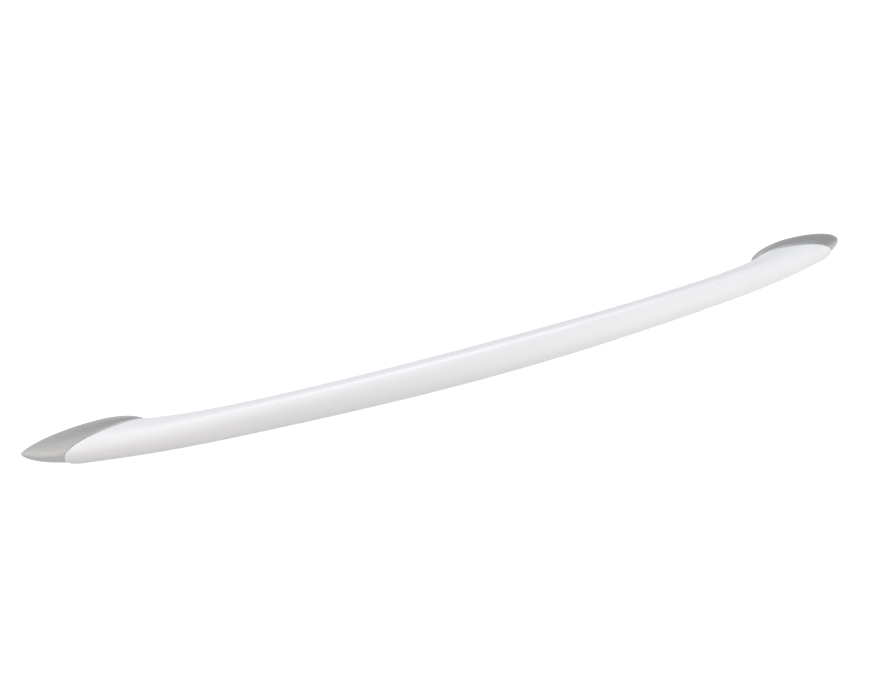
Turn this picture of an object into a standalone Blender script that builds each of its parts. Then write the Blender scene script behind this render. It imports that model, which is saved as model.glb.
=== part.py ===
"""Oven door handle: a bowed white grip bar that stands on two silver-grey end caps.

The door's face is the plane Y = 0 and the handle stands out of it towards -Y. X runs along the
handle and Z is up. The origin is on the door's face, halfway between the two fixing screws.
"""

import math

import bmesh
import bpy
from mathutils import Matrix, Vector

MM = 0.001

# Overall sizes
OVERALL_LENGTH = 540 * MM       # tip to tip of the two feet on the door
TIP_TO_FIXING = 45 * MM         # from each end to the screw that comes through the door there
STAND_OFF = 30 * MM             # door to the grip's centre line, at the middle

# Centre line of the grip, seen from above: a long bow, and a turn towards the door at each end
BEND_RADIUS = 333 * MM          # radius of the turn that is added to the bow
BEND_START = 91 * MM            # from the fixing screw back to where the turn begins
BEND_EASE = 70 * MM             # length over which the turn comes in

# Section of the grip, a superellipse that is square to the centre line
SECTION_POWER = 2.3             # 2 is an ellipse, more is fuller at the corners
GRIP_DEPTH = 15.2 * MM          # front to back at the middle
WAIST_DEPTH = 14.4 * MM         # front to back where the grip is slimmest
SEAT_DEPTH = 22.8 * MM          # front to back at the fixing screw
WAIST_TO_FIXING = 85 * MM
GRIP_HEIGHT = 19.4 * MM         # at the middle
END_HEIGHT = 16.2 * MM          # at the fixing screw

# Seat: the slanting plane on which the bar meets its end cap
SEAT_STAND_OFF = 9.6 * MM       # door to seat at the fixing screw
SEAT_TILT = math.radians(8)     # away from the door towards the handle's end
LAND = 1.2 * MM                 # straight edge of the bar along its seat
BAR_EDGE_RADIUS = 0.6 * MM
CAP_EDGE_RADIUS = 0.5 * MM
DOOR_EDGE_RADIUS = 0.25 * MM    # round the foot, along the door
JOINT_GAP = 0.3 * MM            # between any two pieces that touch

# Foot: the leaf-shaped outline of the end cap on the door
FIXING_TO_INNER_TIP = 23 * MM   # from the fixing screw to the end of the foot nearer the middle
TIP_TO_WIDEST = 41 * MM         # from the handle's end to the foot's widest place
FOOT_HEIGHT = 16 * MM
FOOT_OUTER_POINT = 1.25         # 1 is an ellipse, more draws the outer tip to a point
FOOT_INNER_POINT = 1.1
FOOT_LAND = 1.0 * MM            # straight edge along the door
TIP_INSET = 2                   # at its tips the hollow's outline lies this many walls in
NOSE_CROWN = 3.5 * MM           # how far the slanting outer end bulges
NOSE_CROWN_POWER = 1.5          # more keeps the bulge nearer the tip
FLANK_CROWN = 0.5 * MM          # how far the upper and lower sides bulge
FLANK_CROWN_POWER = 0.7         # less spreads the bulge further round the sides

# Hollow of the bar
CHANNEL_WALL = 3.0 * MM
CHANNEL_TO_FIXING = 33 * MM     # from the channel's closed end to the fixing screw
CHANNEL_DOME = 7 * MM           # length of the channel's rounded end
POCKET_WALL = 2.6 * MM
POCKET_TO_FIXING = 8 * MM       # from the pocket's inner end to the fixing screw
GAS_HOLE_RADIUS = 1.2 * MM      # joins the channel to the pocket
RIB = 1.5 * MM

# Threaded insert in the bar's boss
INSERT_RADIUS = 2.8 * MM
INSERT_LENGTH = 7.0 * MM
INSERT_BORE_RADIUS = 1.65 * MM
INSERT_RECESS = 0.6 * MM        # its face lies this far below the seat
INSERT_GROOVE = 0.35 * MM
INSERT_BAND = 2.5 * MM          # length of each of its two knurled bands
BOSS_WALL = 1.7 * MM

# End cap
CAP_WALL = 2.0 * MM
CAP_TOP = 2.0 * MM              # thickness under the seat
CAP_SET_BACK = 4 * MM           # how far the bar reaches past the cap at the seat's inner end
CAP_SET_BACK_POWER = 2          # more keeps the set-back nearer that end
FIXING_BORE_RADIUS = 2.25 * MM
SLEEVE_WALL = 2.35 * MM         # of the spacer round the fixing screw, flush with the door
KEY_LENGTH = 5.0 * MM           # block on the cap that locates it in the bar's pocket
KEY_WIDTH = 7.0 * MM
KEY_HEIGHT = 1.8 * MM
KEY_FROM_FIXING = 9.5 * MM

# Screw that holds the cap to the bar
CAP_SCREW_FROM_TIP = 8 * MM     # from the foot's inner tip
CAP_SCREW_RADIUS = 1.45 * MM
CAP_SCREW_LENGTH = 9.5 * MM     # under its head
CAP_SCREW_HEAD_RADIUS = 2.7 * MM
CAP_SCREW_HEAD_HEIGHT = 2.0 * MM
CAP_SCREW_DOME = 1.3 * MM       # radius of the head's rounded rim
CAP_SCREW_SLOT = 0.75 * MM      # width of each arm of its cross recess
CAP_SCREW_SLOT_DEPTH = 1.2 * MM
CAP_POST_RIM = 0.5 * MM         # how far the post reaches past the screw's head
CAP_POST_STAND_OFF = 4.6 * MM   # door to the face that the screw's head presses on

# Fineness of the surfaces
SECTION_POINTS = 40
GRIP_RINGS = 10
END_RINGS = 12
FAN_RUN = 50 * MM               # before the fixing screw the rings begin to lean like the seat
FLANK_RINGS = 7
EDGE_STEPS = 3
CORE_POINTS = 20
CORE_RINGS = 9
POCKET_RINGS = 4
TURN_STEPS = 24
GAS_HOLE_STEPS = 12
SMOOTH_ANGLE = math.radians(35)  # edges that turn more than this stay crisp
MERGE_DISTANCE = 0.01 * MM
SEAT_SEARCH_STEPS = 30          # halvings in the search for the seat along the grip

WHITE = "F1F1EF"
SILVER = "A7A8A7"
BRASS = "C9A35A"
ZINC = "B4B7BB"

# Worked out from the sizes above
FOOT_TIP = OVERALL_LENGTH / 2
FIXING_X = FOOT_TIP - TIP_TO_FIXING
BEND_X = FIXING_X - BEND_START
WAIST_X = FIXING_X - WAIST_TO_FIXING
FAN_X = FIXING_X - FAN_RUN
FOOT_LENGTH = TIP_TO_FIXING + FIXING_TO_INNER_TIP
CAP_SCREW_X = FIXING_X - FIXING_TO_INNER_TIP + CAP_SCREW_FROM_TIP
EXTRA_TURN = 1 / BEND_RADIUS
SEAT_END = FIXING_X + FOOT_LENGTH
BOSS_RADIUS = INSERT_RADIUS + JOINT_GAP + BOSS_WALL
SLEEVE_RADIUS = FIXING_BORE_RADIUS + SLEEVE_WALL
CAP_POST_RADIUS = CAP_SCREW_HEAD_RADIUS + CAP_POST_RIM
SEAT_NORMAL = Vector((math.sin(SEAT_TILT), math.cos(SEAT_TILT), 0))
SEAT_ALONG = Vector((math.cos(SEAT_TILT), -math.sin(SEAT_TILT), 0))  # towards the handle's end
SEAT_POINT = Vector((FIXING_X, -SEAT_STAND_OFF, 0))
HIDDEN_RUN = 6 * MM             # how far a cutter runs past the surface that it opens
CAP_RIB_DROP = STAND_OFF - FOOT_LAND  # ribs run up from just inside the foot, through the cap's top


def ease(share):
    """Smooth step from 0 to 1."""
    share = min(max(share, 0.0), 1.0)
    return share * share * (3 - 2 * share)


def ease_slope_sum(share):
    """Integral of the smooth step: the slope that the end turn has gathered."""
    if share <= 0:
        return 0.0
    if share < 1:
        return share ** 3 - share ** 4 / 2
    return 0.5 + (share - 1)


def ease_rise_sum(share):
    """Second integral of the smooth step: the rise that the end turn has gathered."""
    if share <= 0:
        return 0.0
    if share < 1:
        return share ** 4 / 4 - share ** 5 / 10
    return 0.15 + (share - 1) / 2 + (share - 1) ** 2 / 2


def end_turn_rise(x):
    return EXTRA_TURN * BEND_EASE ** 2 * ease_rise_sum((x - BEND_X) / BEND_EASE)


def end_turn_slope(x):
    return EXTRA_TURN * BEND_EASE * ease_slope_sum((x - BEND_X) / BEND_EASE)


# The bow's curvature brings the centre line to the seat just at the fixing screw
BOW = 2 * (STAND_OFF - SEAT_STAND_OFF - end_turn_rise(FIXING_X)) / FIXING_X ** 2


def centre_line(x):
    """Y and heading of the grip's centre line at a place along the handle."""
    y = -STAND_OFF + BOW * x * x / 2 + end_turn_rise(x)
    heading = math.atan(BOW * x + end_turn_slope(x))
    return y, heading


def half_depth(x):
    """Half of the section's size square to the centre line."""
    if x < WAIST_X:
        return (WAIST_DEPTH + (GRIP_DEPTH - WAIST_DEPTH) * (1 - ease(x / WAIST_X))) / 2
    flare = (x - WAIST_X) / WAIST_TO_FIXING
    return (WAIST_DEPTH + (SEAT_DEPTH - WAIST_DEPTH) * flare ** 2) / 2


def half_height(x):
    return (END_HEIGHT + (GRIP_HEIGHT - END_HEIGHT) * (1 - ease(x / FIXING_X))) / 2


def grip_point(x, angle, wall=0.0, share=1.0):
    """Point of the grip's surface, or of one that lies a wall's thickness inside it.

    Angle 0 is the side of the door, a quarter turn is the top. A share below 1 shrinks the section.
    """
    y, heading = centre_line(x)
    cosine, sine = math.cos(angle), math.sin(angle)
    power = SECTION_POWER
    reach = (abs(cosine) ** power + abs(sine) ** power) ** (-1 / power)
    across = (half_depth(x) - wall) * share * cosine * reach
    up = (half_height(x) - wall) * share * sine * reach
    return Vector((x - across * math.sin(heading), y + across * math.cos(heading), up))


def seat_distance(point):
    """How far a point lies past the seat, on the door's side."""
    return (point - SEAT_POINT).dot(SEAT_NORMAL)


def x_at_seat(angle, offset, wall=0.0):
    """Place along the centre line at which one lengthwise line of the grip reaches the seat."""
    low, high = FAN_X, SEAT_END
    for _ in range(SEAT_SEARCH_STEPS):
        middle = (low + high) / 2
        if seat_distance(grip_point(middle, angle, wall)) < offset:
            low = middle
        else:
            high = middle
    return low


def angles(count):
    return [2 * math.pi * step / count for step in range(count)]


def seat_loop(offset, wall=0.0, count=SECTION_POINTS):
    """Outline in which the grip meets a plane parallel to the seat."""
    return [grip_point(x_at_seat(angle, offset, wall), angle, wall) for angle in angles(count)]


def seat_outline(shift=0.0, count=SECTION_POINTS):
    """Outline of the bar's end on its seat, or that far past it on the door's side."""
    return moved(seat_loop(-LAND, count=count), SEAT_NORMAL * (LAND + shift))


def cap_outline(shift, count=SECTION_POINTS):
    """The bar's outline on its seat, drawn in at the inner end and moved towards the door."""
    loop = []
    for angle, point in zip(angles(count), seat_outline(shift, count)):
        share = max(math.cos(angle), 0.0) ** CAP_SET_BACK_POWER
        loop.append(point + SEAT_ALONG * CAP_SET_BACK * share)
    return loop


def foot_loop(y, count=SECTION_POINTS):
    """Leaf-shaped outline of the foot, in the order of the grip's outline."""
    widest = FOOT_TIP - TIP_TO_WIDEST
    loop = []
    for angle in angles(count):
        cosine, sine = math.cos(angle), math.sin(angle)
        inner = cosine > 0
        reach = FOOT_LENGTH - TIP_TO_WIDEST if inner else TIP_TO_WIDEST
        power = FOOT_INNER_POINT if inner else FOOT_OUTER_POINT
        z = FOOT_HEIGHT / 2 * math.copysign(abs(sine) ** power, sine)
        loop.append(Vector((widest - reach * cosine, y, z)))
    return loop


def moved(loop, shift):
    return [point + shift for point in loop]


def shrunk(loop, normal, inset):
    """The loop with each point moved inwards in the loop's own plane."""
    result = []
    centre = sum(loop, Vector()) / len(loop)
    for index, point in enumerate(loop):
        along = loop[(index + 1) % len(loop)] - loop[index - 1]
        inwards = along.cross(normal).normalized()
        if inwards.dot(centre - point) < 0:
            inwards.negate()
        result.append(point + inwards * inset)
    return result


def narrowed(loop, normal, inset):
    """A leaf-shaped outline drawn in by a wall, and by more at its tips, where an inset would fold."""
    along = normal.cross(Vector((0, 0, 1))).normalized()
    places = [point.dot(along) for point in loop]
    middle = (max(places) + min(places)) / 2
    lengthwise = TIP_INSET * inset / (max(places) - middle)
    upright = inset / max(point.z for point in loop)
    result = []
    for point, place in zip(loop, places):
        drawn_in = point + along * (middle - place) * lengthwise
        drawn_in.z -= point.z * upright
        result.append(drawn_in)
    return result


def rounded_edge(loop, normal, radius):
    """Loops of a rounded edge, from the side wall to the flat face that the normal leaves."""
    loops = []
    for step in range(EDGE_STEPS + 1):
        turn = math.pi / 2 * step / EDGE_STEPS
        edge = shrunk(loop, normal, radius * (1 - math.cos(turn)))
        loops.append(moved(edge, -normal * radius * (1 - math.sin(turn))))
    return loops


def flank_loops(top, bottom):
    """Crowned side of the end cap, between its edge at the seat and its edge at the door."""
    loops = []
    for step in range(1, FLANK_RINGS):
        share = step / FLANK_RINGS
        crown = 4 * share * (1 - share)
        loop = []
        for angle, upper, lower in zip(angles(len(top)), top, bottom):
            point = upper.lerp(lower, share)
            sine = math.sin(angle)
            bulge = abs(sine) ** FLANK_CROWN_POWER
            point.z += crown * FLANK_CROWN * math.copysign(bulge, sine)
            point.x += crown * NOSE_CROWN * max(-math.cos(angle), 0.0) ** NOSE_CROWN_POWER
            loop.append(point)
        loops.append(loop)
    return loops


def loft(name, loops, close_start=True):
    """Mesh through loops of equal length, closed by a flat face at its ends."""
    builder = bmesh.new()
    rings = [[builder.verts.new(point) for point in loop] for loop in loops]
    count = len(rings[0])
    for ring, following in zip(rings, rings[1:]):
        for index in range(count):
            after = (index + 1) % count
            builder.faces.new((ring[index], ring[after], following[after], following[index]))
    builder.faces.new(rings[-1])
    if close_start:
        builder.faces.new(list(reversed(rings[0])))
        bmesh.ops.recalc_face_normals(builder, faces=builder.faces)
    mesh = bpy.data.meshes.new(name)
    builder.to_mesh(mesh)
    builder.free()
    return mesh


def smooth(mesh):
    mesh.shade_smooth()
    mesh.set_sharp_from_angle(angle=SMOOTH_ANGLE)
    return mesh


def new_object(name, mesh, collection, location=(0, 0, 0)):
    """Object whose origin is at a place of its own, with the mesh given in the handle's frame."""
    mesh.transform(Matrix.Translation(-Vector(location)))
    item = bpy.data.objects.new(name, mesh)
    item.location = location
    collection.objects.link(item)
    return item


def material(name, colour, roughness, metallic):
    """Principled material from an sRGB colour in hex."""
    def linear(channel):
        return channel / 12.92 if channel <= 0.04045 else ((channel + 0.055) / 1.055) ** 2.4
    channels = [linear(int(colour[place:place + 2], 16) / 255) for place in (0, 2, 4)]
    result = bpy.data.materials.new(name)
    result.use_nodes = True
    shader = result.node_tree.nodes["Principled BSDF"]
    shader.inputs["Base Color"].default_value = (*channels, 1)
    shader.inputs["Roughness"].default_value = roughness
    shader.inputs["Metallic"].default_value = metallic
    result.diffuse_color = (*channels, 1)
    return result


def mirrored_across(item, merge):
    """Adds the matching half, or the matching cutter, on the handle's other side."""
    mirror = item.modifiers.new("other side", "MIRROR")
    mirror.use_axis = (True, False, False)
    mirror.use_mirror_merge = merge
    mirror.use_clip = merge
    mirror.merge_threshold = MERGE_DISTANCE


def combine(item, other, operation):
    """Cuts another object's form out of this one, or joins it on."""
    boolean = item.modifiers.new(other.name, "BOOLEAN")
    boolean.operation = operation
    boolean.solver = "EXACT"
    boolean.object = other


def guide(name, mesh, collection):
    item = new_object(name, mesh, collection)
    item.hide_render = True
    item.display_type = "WIRE"
    return item


def rod(name, start, end, radius, collection, steps=TURN_STEPS):
    """Round cutter or boss between two points of the right-hand side."""
    axis = end - start
    turn = axis.to_track_quat("Z", "Y").to_matrix().to_4x4()
    place = Matrix.Translation((start + end) / 2) @ turn
    builder = bmesh.new()
    bmesh.ops.create_cone(builder, cap_ends=True, segments=steps, radius1=radius, radius2=radius,
                          depth=axis.length, matrix=place)
    mesh = bpy.data.meshes.new(name)
    builder.to_mesh(mesh)
    builder.free()
    return guide(name, mesh, collection)


def block(name, centre, size, collection, tilt=0.0):
    """Square-edged cutter, rib or key; the tilt turns it about the vertical."""
    place = Matrix.Translation(centre) @ Matrix.Rotation(-tilt, 4, "Z") @ Matrix.Diagonal((*size, 1))
    builder = bmesh.new()
    bmesh.ops.create_cube(builder, size=1, matrix=place)
    mesh = bpy.data.meshes.new(name)
    builder.to_mesh(mesh)
    builder.free()
    return guide(name, mesh, collection)


def grip_shell():
    """Right half of the bar's outer form, open at the middle and closed at the seat."""
    grip = [[grip_point(FAN_X * step / GRIP_RINGS, angle) for angle in angles(SECTION_POINTS)]
            for step in range(GRIP_RINGS)]
    ends = [x_at_seat(angle, -LAND) for angle in angles(SECTION_POINTS)]
    fan = []
    for step in range(END_RINGS):
        share = step / END_RINGS
        fan.append([grip_point(FAN_X + (end - FAN_X) * share, angle)
                    for angle, end in zip(angles(SECTION_POINTS), ends)])
    rim = rounded_edge(seat_outline(), SEAT_NORMAL, BAR_EDGE_RADIUS)
    return loft("grip_bar", grip + fan + [seat_loop(-LAND)] + rim, close_start=False)


def channel():
    """Right half of the hollow that gas leaves along the grip, with a domed end."""
    end = FIXING_X - CHANNEL_TO_FIXING
    straight = end - CHANNEL_DOME
    loops = [[grip_point(straight * step / CORE_RINGS, angle, CHANNEL_WALL)
              for angle in angles(CORE_POINTS)] for step in range(CORE_RINGS + 1)]
    for step in range(1, EDGE_STEPS + 1):
        turn = math.pi / 2 * step / (EDGE_STEPS + 1)
        x = straight + CHANNEL_DOME * math.sin(turn)
        loops.append([grip_point(x, angle, CHANNEL_WALL, math.cos(turn))
                      for angle in angles(CORE_POINTS)])
    return loft("channel", loops, close_start=False)


def pocket():
    """Hollow of the bar's right end, open at the seat."""
    start = FIXING_X - POCKET_TO_FIXING
    ends = [max(x_at_seat(angle, HIDDEN_RUN, POCKET_WALL), start + RIB)
            for angle in angles(CORE_POINTS)]
    loops = []
    for step in range(POCKET_RINGS):
        share = step / (POCKET_RINGS - 1)
        loops.append([grip_point(start + (end - start) * share, angle, POCKET_WALL)
                      for angle, end in zip(angles(CORE_POINTS), ends)])
    return loft("pocket", loops)


def mid_height(x, y):
    """Point of the plane that splits the handle into its upper and lower halves."""
    return Vector((x, y, 0))


def bar_cutters(collection):
    """Everything that is taken out of the bar, drawn for its right end and mirrored."""
    hollow = guide("bar_channel", channel(), collection)
    mirrored_across(hollow, merge=True)

    end_pocket = guide("bar_pocket", pocket(), collection)
    deep = mid_height(FIXING_X, -STAND_OFF)
    out = mid_height(FIXING_X, HIDDEN_RUN)
    combine(end_pocket, rod("bar_boss", deep, out, BOSS_RADIUS, collection), "DIFFERENCE")
    rib_size = (RIB, 2 * STAND_OFF, END_HEIGHT)
    combine(end_pocket, block("bar_rib", deep, rib_size, collection), "DIFFERENCE")

    insert_top = -SEAT_STAND_OFF - INSERT_RECESS
    insert_floor = insert_top - INSERT_LENGTH - JOINT_GAP
    insert_hole = rod("bar_insert_hole", mid_height(FIXING_X, insert_floor), out,
                      INSERT_RADIUS + JOINT_GAP, collection)

    screw_floor = -CAP_POST_STAND_OFF - CAP_SCREW_LENGTH - JOINT_GAP
    screw_hole = rod("bar_screw_hole", mid_height(CAP_SCREW_X, screw_floor),
                     mid_height(CAP_SCREW_X, HIDDEN_RUN), CAP_SCREW_RADIUS + JOINT_GAP, collection)

    channel_x = FIXING_X - CHANNEL_TO_FIXING - CHANNEL_DOME
    pocket_x = FIXING_X - BOSS_RADIUS - JOINT_GAP
    gas_start = mid_height(channel_x, centre_line(channel_x)[0] - GAS_HOLE_RADIUS)
    gas_end = mid_height(pocket_x, centre_line(pocket_x)[0] - half_depth(pocket_x) / 2)
    gas_hole = rod("bar_gas_hole", gas_start, gas_end, GAS_HOLE_RADIUS, collection,
                   steps=GAS_HOLE_STEPS)

    cutters = [hollow, end_pocket, insert_hole, screw_hole, gas_hole]
    for cutter in cutters[1:]:
        mirrored_across(cutter, merge=False)
    return cutters


def cap_shell():
    """Outer form of the right end cap, from its face under the bar to its foot on the door."""
    seat_edge = rounded_edge(cap_outline(JOINT_GAP), -SEAT_NORMAL, CAP_EDGE_RADIUS)
    door_edge = rounded_edge(foot_loop(0.0), Vector((0, 1, 0)), DOOR_EDGE_RADIUS)
    land = foot_loop(-FOOT_LAND)
    flank = flank_loops(seat_edge[0], land)
    return loft("end_cap", list(reversed(seat_edge)) + flank + [land] + door_edge)


def cap_hollow():
    """Hollow of the right end cap, open towards the door."""
    door_side = Vector((0, 1, 0))
    top = narrowed(cap_outline(JOINT_GAP + CAP_TOP, CORE_POINTS), SEAT_NORMAL, CAP_WALL)
    middle = narrowed(foot_loop(-FOOT_LAND, CORE_POINTS), door_side, CAP_WALL)
    bottom = narrowed(foot_loop(HIDDEN_RUN, CORE_POINTS), door_side, CAP_WALL)
    return loft("cap_hollow", [top, middle, bottom])


def cap_cutters(collection):
    """What is taken out of an end cap, for both sides."""
    hollow = guide("cap_hollow", cap_hollow(), collection)
    deep = mid_height(FIXING_X, -STAND_OFF)
    out = mid_height(FIXING_X, 2 * HIDDEN_RUN)
    combine(hollow, rod("cap_sleeve", deep, out, SLEEVE_RADIUS, collection), "DIFFERENCE")
    post = rod("cap_post", mid_height(CAP_SCREW_X, -STAND_OFF),
               mid_height(CAP_SCREW_X, -CAP_POST_STAND_OFF), CAP_POST_RADIUS, collection)
    combine(hollow, post, "DIFFERENCE")
    rib_end = FOOT_TIP - CAP_WALL
    rib_x = (FIXING_X + rib_end) / 2
    rib_y = -FOOT_LAND - CAP_RIB_DROP / 2
    long_rib = block("cap_long_rib", mid_height(rib_x, rib_y),
                     (rib_end - FIXING_X, CAP_RIB_DROP, RIB), collection)
    combine(hollow, long_rib, "DIFFERENCE")
    cross_rib = block("cap_cross_rib", mid_height(FIXING_X, rib_y),
                      (RIB, CAP_RIB_DROP, END_HEIGHT), collection)
    combine(hollow, cross_rib, "DIFFERENCE")

    bore = rod("cap_bore", deep, out, FIXING_BORE_RADIUS, collection)
    screw_hole = rod("cap_screw_hole", mid_height(CAP_SCREW_X, -STAND_OFF),
                     mid_height(CAP_SCREW_X, HIDDEN_RUN), CAP_SCREW_RADIUS + JOINT_GAP, collection)

    cutters = [hollow, bore, screw_hole]
    for cutter in cutters:
        mirrored_across(cutter, merge=False)
    return cutters


def cap_key(side, collection):
    """Block that stands on the cap's top and locates it in the bar's pocket."""
    middle = SEAT_POINT + SEAT_ALONG * KEY_FROM_FIXING + SEAT_NORMAL * (CAP_TOP - KEY_HEIGHT) / 2
    middle.x *= side
    size = (KEY_LENGTH, KEY_HEIGHT + CAP_TOP, KEY_WIDTH)
    return block(f"cap_key_{side:+d}", middle, size, collection, tilt=side * SEAT_TILT)


def make_bar(parts, cutters, finish):
    bar = new_object("grip_bar", smooth(grip_shell()), parts)
    bar.data.materials.append(finish)
    mirrored_across(bar, merge=True)
    for cutter in cutters:
        combine(bar, cutter, "DIFFERENCE")
    return bar


def make_cap(side, parts, cutters, cutter_collection, finish):
    """End cap of one side; its origin is on the door, on the fixing screw's axis."""
    name = "right_end_cap" if side > 0 else "left_end_cap"
    mesh = cap_shell()
    if side < 0:
        mesh.transform(Matrix.Scale(-1, 4, Vector((1, 0, 0))))
        mesh.flip_normals()
    cap = new_object(name, smooth(mesh), parts, Vector((side * FIXING_X, 0, 0)))
    cap.data.materials.append(finish)
    combine(cap, cap_key(side, cutter_collection), "UNION")
    for cutter in cutters:
        combine(cap, cutter, "DIFFERENCE")
    return cap


def turned(name, profile, parts, closed):
    """Turned piece: an outline at +X, from its top down its outer side, turned about Z."""
    builder = bmesh.new()
    points = [builder.verts.new((radius, 0, height)) for radius, height in profile]
    for first, second in zip(points, points[1:]):
        builder.edges.new((first, second))
    if closed:
        builder.edges.new((points[-1], points[0]))
    mesh = bpy.data.meshes.new(name)
    builder.to_mesh(mesh)
    builder.free()
    item = new_object(name, mesh, parts)
    screw = item.modifiers.new("turn", "SCREW")
    screw.steps = TURN_STEPS
    screw.render_steps = TURN_STEPS
    screw.use_merge_vertices = not closed
    screw.merge_threshold = MERGE_DISTANCE
    screw.use_smooth_shade = True
    return item


def make_insert(side, parts, finish):
    """Brass insert with two knurled bands and a groove between them; it faces the door."""
    name = "right_threaded_insert" if side > 0 else "left_threaded_insert"
    groove = INSERT_RADIUS - INSERT_GROOVE
    profile = [(groove, 0), (INSERT_RADIUS, -INSERT_GROOVE), (INSERT_RADIUS, -INSERT_BAND),
               (groove, -INSERT_BAND - INSERT_GROOVE),
               (groove, -INSERT_LENGTH + INSERT_BAND + INSERT_GROOVE),
               (INSERT_RADIUS, -INSERT_LENGTH + INSERT_BAND),
               (INSERT_RADIUS, -INSERT_LENGTH + INSERT_GROOVE), (groove, -INSERT_LENGTH),
               (INSERT_BORE_RADIUS, -INSERT_LENGTH), (INSERT_BORE_RADIUS, -INSERT_GROOVE),
               (INSERT_BORE_RADIUS + INSERT_GROOVE, 0)]
    insert = turned(name, profile, parts, closed=True)
    insert.data.materials.append(finish)
    insert.location = (side * FIXING_X, -SEAT_STAND_OFF - INSERT_RECESS, 0)
    insert.rotation_euler = (-math.pi / 2, 0, 0)
    return insert


def make_cap_screw(side, parts, cutter_collection, finish):
    """Pan-head screw with a cross recess and a pointed end; its head faces the door."""
    name = "right_cap_screw" if side > 0 else "left_cap_screw"
    head, height = CAP_SCREW_HEAD_RADIUS, CAP_SCREW_HEAD_HEIGHT
    dome = CAP_SCREW_DOME
    profile = [(0, height)]
    for step in range(EDGE_STEPS + 1):
        turn = math.pi / 2 * step / EDGE_STEPS
        profile.append((head - dome + dome * math.sin(turn), height - dome + dome * math.cos(turn)))
    profile += [(head, 0), (CAP_SCREW_RADIUS, 0),
                (CAP_SCREW_RADIUS, -CAP_SCREW_LENGTH + 2 * CAP_SCREW_RADIUS),
                (0, -CAP_SCREW_LENGTH)]
    screw = turned(name, profile, parts, closed=False)
    screw.data.materials.append(finish)
    place = Vector((side * CAP_SCREW_X, -CAP_POST_STAND_OFF + JOINT_GAP, 0))
    screw.location = place
    screw.rotation_euler = (-math.pi / 2, 0, 0)
    top = place + Vector((0, height, 0))
    cut = 2 * CAP_SCREW_SLOT_DEPTH
    for label, size in (("across", (head, cut, CAP_SCREW_SLOT)),
                        ("upright", (CAP_SCREW_SLOT, cut, head))):
        slot = block(f"{name}_{label}", top, size, cutter_collection)
        combine(screw, slot, "DIFFERENCE")
    return screw


def main():
    for item in list(bpy.data.objects):
        bpy.data.objects.remove(item, do_unlink=True)
    parts = bpy.data.collections.new("oven_door_handle")
    cutter_collection = bpy.data.collections.new("cutters")
    for collection in (parts, cutter_collection):
        bpy.context.scene.collection.children.link(collection)

    white = material("white moulded plastic", WHITE, 0.3, 0.0)
    silver = material("silver painted plastic", SILVER, 0.42, 0.5)
    brass = material("brass", BRASS, 0.35, 1.0)
    zinc = material("zinc plated steel", ZINC, 0.35, 1.0)

    frame = bpy.data.objects.new("door_face", None)
    parts.objects.link(frame)
    made = [make_bar(parts, bar_cutters(cutter_collection), white)]
    cutters = cap_cutters(cutter_collection)
    for side in (-1, 1):
        made.append(make_cap(side, parts, cutters, cutter_collection, silver))
        made.append(make_insert(side, parts, brass))
        made.append(make_cap_screw(side, parts, cutter_collection, zinc))
    for item in made:
        item.parent = frame


main()
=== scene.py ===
"""Oven door handle: a bowed white grip bar that stands on two silver-grey end caps.

The door's face is the plane Y = 0 and the handle stands out of it towards -Y. X runs along the
handle, Z is up, and the origin is on the door's face, halfway between the two fixing screws.
"""

from __future__ import annotations

import logging
import math
from collections.abc import Callable, Sequence
from dataclasses import dataclass
from enum import Enum

import bmesh
import bpy
from mathutils import Matrix, Vector


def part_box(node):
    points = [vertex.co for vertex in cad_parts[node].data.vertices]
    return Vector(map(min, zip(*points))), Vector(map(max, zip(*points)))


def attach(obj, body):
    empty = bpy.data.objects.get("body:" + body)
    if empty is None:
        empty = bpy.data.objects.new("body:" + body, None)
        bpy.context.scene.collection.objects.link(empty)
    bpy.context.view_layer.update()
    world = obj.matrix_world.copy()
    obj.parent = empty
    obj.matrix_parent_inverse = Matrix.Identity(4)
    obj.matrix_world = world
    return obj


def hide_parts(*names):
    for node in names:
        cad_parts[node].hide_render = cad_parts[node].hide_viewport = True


logging.basicConfig(level=logging.INFO, format="%(message)s")
LOG = logging.getLogger("oven_door_handle")

MM = 0.001
SLIVER = 0.001 * MM             # points closer than this are one point
BODY = "root"
PICTURE_WIDTH = 890             # pixels
SENSOR_WIDTH = 36.0             # mm
UP = Vector((0, 0, 1))
TO_DOOR = Vector((0, 1, 0))
WHITE = "FFFFFF"

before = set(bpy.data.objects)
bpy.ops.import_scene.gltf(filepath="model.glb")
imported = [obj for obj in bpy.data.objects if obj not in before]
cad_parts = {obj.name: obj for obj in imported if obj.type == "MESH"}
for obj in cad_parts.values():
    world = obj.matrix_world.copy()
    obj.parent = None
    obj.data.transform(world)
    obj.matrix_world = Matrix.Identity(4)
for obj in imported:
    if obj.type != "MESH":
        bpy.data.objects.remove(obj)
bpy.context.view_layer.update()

Loop = list[Vector]


class Side(Enum):
    """The handle's two ends, as the sign of X."""

    LEFT = -1
    RIGHT = 1

    @property
    def label(self) -> str:
        """Word that starts the names of this end's pieces."""
        return self.name.lower()


def ease(share: float) -> float:
    """Smooth step from 0 to 1."""
    share = min(max(share, 0.0), 1.0)
    return share * share * (3 - 2 * share)


def ring_angles(count: int) -> list[float]:
    """Evenly spaced angles round a full turn."""
    return [2 * math.pi * step / count for step in range(count)]


def moved(loop: Loop, shift: Vector) -> Loop:
    """The loop, shifted as a whole."""
    return [point + shift for point in loop]


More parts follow.
